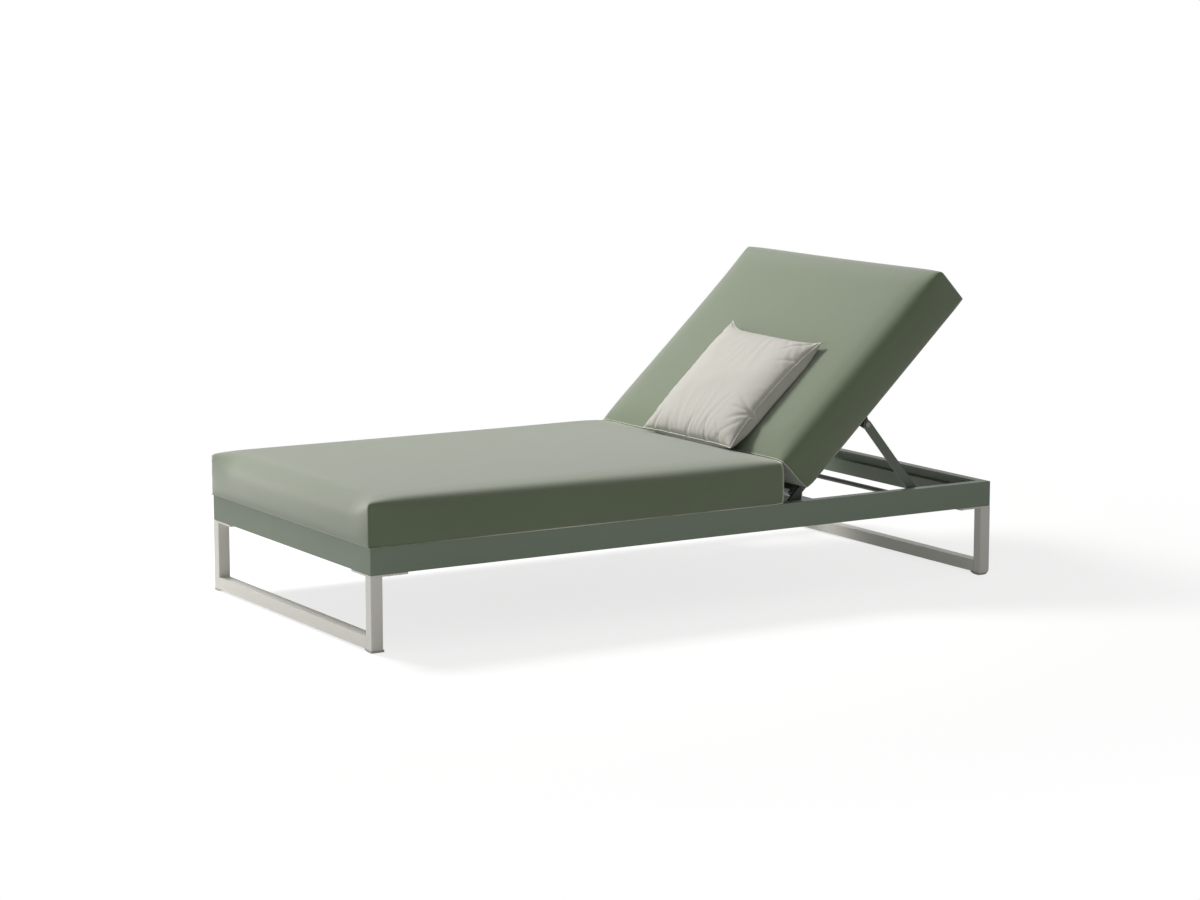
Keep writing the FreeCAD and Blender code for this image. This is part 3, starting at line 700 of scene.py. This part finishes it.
def build_pillow(back_pad):
    """The scatter pillow that lies on the back, with the cord in its seam."""
    back = back_frame()
    low, high = local_box("pillow", back) + np.array(pillow_shift)
    mesh, rim, flat, rear = pillow_sheets(low, high)
    linen = woven_fabric("pillow_weave", pillow_colour, pillow_dark, pillow_thread, pillow_sheen)
    # The seam cord's lighter colour is a painted highlight along the seam
    cord = woven_fabric("pillow_cord_weave_painted_highlight", pillow_cord_painted_highlight, pillow_colour, pillow_thread, pillow_sheen)
    piece = mesh_object("scatter_pillow_cover", mesh, back, linen)
    held = np.zeros(len(mesh.vertices))
    held[rim] = 1.0
    swell(piece, held, pillow_pressure, pillow_frames, pillow_cap, pillow_stiffness, pillow_bending,
          slack=pillow_slack)
    places = pillow_form(places_of(mesh), flat, rear, low, high)
    lie_on(places, back_pad, high[2] + pillow_cap)
    set_places(mesh, places)
    rim_points = [Vector(places[point]) for point in rim]
    subdivide_once(piece)
    mesh_look(piece, linen)
    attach(piece, "scatter_pillow")
    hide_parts("pillow")
    seam_mesh = tube_mesh("pillow_seam", [rim_points + rim_points[:1]], pillow_cord_radius)
    seam = mesh_object("scatter_pillow_seam", seam_mesh, back, cord)
    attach(seam, "scatter_pillow")


# Stage, light and camera

def build_stage():
    """A plain pale floor that is white from afar and keeps the soft shadow near the lounger."""
    mesh = bpy.data.meshes.new("floor")
    corners = [(x * floor_reach, y * floor_reach, 0) for x, y in ((-1, -1), (1, -1), (1, 1), (-1, 1))]
    mesh.from_pydata(corners, [], [(0, 1, 2, 3)])
    floor = bpy.data.objects.new("floor", mesh)
    bpy.context.scene.collection.objects.link(floor)
    material, tree_nodes, links, shader = new_material("floor")
    shader.inputs["Base Color"].default_value = opaque((floor_bounce,) * 3)
    shader.inputs["Roughness"].default_value = 0.9
    shader.inputs["Specular IOR Level"].default_value = 0.0
    path = add_node(tree_nodes, "ShaderNodeLightPath")
    paper = add_node(tree_nodes, "ShaderNodeBsdfDiffuse", {"Color": opaque((floor_paper,) * 3)})
    lift = add_node(tree_nodes, "ShaderNodeEmission", {"Color": (1, 1, 1, 1), "Strength": floor_lift})
    near = add_node(tree_nodes, "ShaderNodeAddShader")
    links.new(paper.outputs[0], near.inputs[0])
    links.new(lift.outputs[0], near.inputs[1])
    white = add_node(tree_nodes, "ShaderNodeEmission", {"Color": (1, 1, 1, 1), "Strength": 1.0})
    where = add_node(tree_nodes, "ShaderNodeTexCoord").outputs["Object"]
    away = add_node(tree_nodes, "ShaderNodeVectorMath", operation="LENGTH")
    links.new(where, away.inputs[0])
    seen = add_node(tree_nodes, "ShaderNodeMixShader")
    links.new(spread(tree_nodes, links, away.outputs["Value"], fade_start, fade_end, 0.0, 1.0), seen.inputs[0])
    links.new(near.outputs[0], seen.inputs[1])
    links.new(white.outputs[0], seen.inputs[2])
    mix = add_node(tree_nodes, "ShaderNodeMixShader")
    links.new(seen_rays(tree_nodes, links, path), mix.inputs[0])
    links.new(shader.outputs[0], mix.inputs[1])
    links.new(seen.outputs[0], mix.inputs[2])
    links.new(mix.outputs[0], tree_nodes["Material Output"].inputs["Surface"])
    mesh.materials.append(material)


def seen_rays(tree_nodes, links, path):
    """1 for rays from the camera and for those it sees in gloss or through glass, else 0."""
    total = path.outputs["Is Camera Ray"]
    for name in ("Is Glossy Ray", "Is Transmission Ray"):
        either = add_node(tree_nodes, "ShaderNodeMath", operation="MAXIMUM")
        links.new(total, either.inputs[0])
        links.new(path.outputs[name], either.inputs[1])
        total = either.outputs[0]
    return total


def build_world():
    """An even studio sky that is plain white where it is seen."""
    world = bpy.data.worlds.new("studio")
    world.use_nodes = True
    tree_nodes, links = world.node_tree.nodes, world.node_tree.links
    air = tree_nodes["Background"]
    air.inputs["Color"].default_value = opaque(sky_colour)
    air.inputs["Strength"].default_value = sky_strength
    white = add_node(tree_nodes, "ShaderNodeBackground", {"Color": (1, 1, 1, 1), "Strength": 1.0})
    path = add_node(tree_nodes, "ShaderNodeLightPath")
    mix = add_node(tree_nodes, "ShaderNodeMixShader")
    links.new(seen_rays(tree_nodes, links, path), mix.inputs[0])
    links.new(air.outputs[0], mix.inputs[1])
    links.new(white.outputs[0], mix.inputs[2])
    links.new(mix.outputs[0], tree_nodes["World Output"].inputs["Surface"])
    bpy.context.scene.world = world


def softbox(name, place, target, size, power, colour=(1.0, 1.0, 1.0)):
    """A rectangular area lamp turned towards a point."""
    lamp = bpy.data.lights.new(name, "AREA")
    lamp.shape = "RECTANGLE"
    lamp.size, lamp.size_y = size
    lamp.energy = power
    lamp.color = colour
    holder = bpy.data.objects.new(name, lamp)
    holder.location = place
    holder.rotation_euler = (Vector(target) - Vector(place)).to_track_quat("-Z", "Y").to_euler()
    bpy.context.scene.collection.objects.link(holder)


def build_light():
    """A soft key lamp from above the far side, and a weak fill towards the foot end."""
    softbox("key", key_place, key_target, key_size, key_power, key_colour)
    softbox("foot_fill", fill_place, fill_target, fill_size, fill_power)


def build_camera():
    """The camera that sees the lounger as the photograph does."""
    lens = bpy.data.cameras.new("camera")
    lens.sensor_fit = "HORIZONTAL"
    lens.sensor_width = camera_sensor
    lens.lens = camera_lens
    lens.clip_end = camera_clip_end
    holder = bpy.data.objects.new("camera", lens)
    holder.location = camera_place
    holder.rotation_euler = (math.radians(camera_tilt), 0.0, math.radians(camera_turn))
    bpy.context.scene.collection.objects.link(holder)
    bpy.context.scene.camera = holder


dress_nodes()
build_pillow(build_mattress())
build_stage()
build_world()
build_light()
build_camera()
bpy.context.scene.view_settings.view_transform = "Standard"
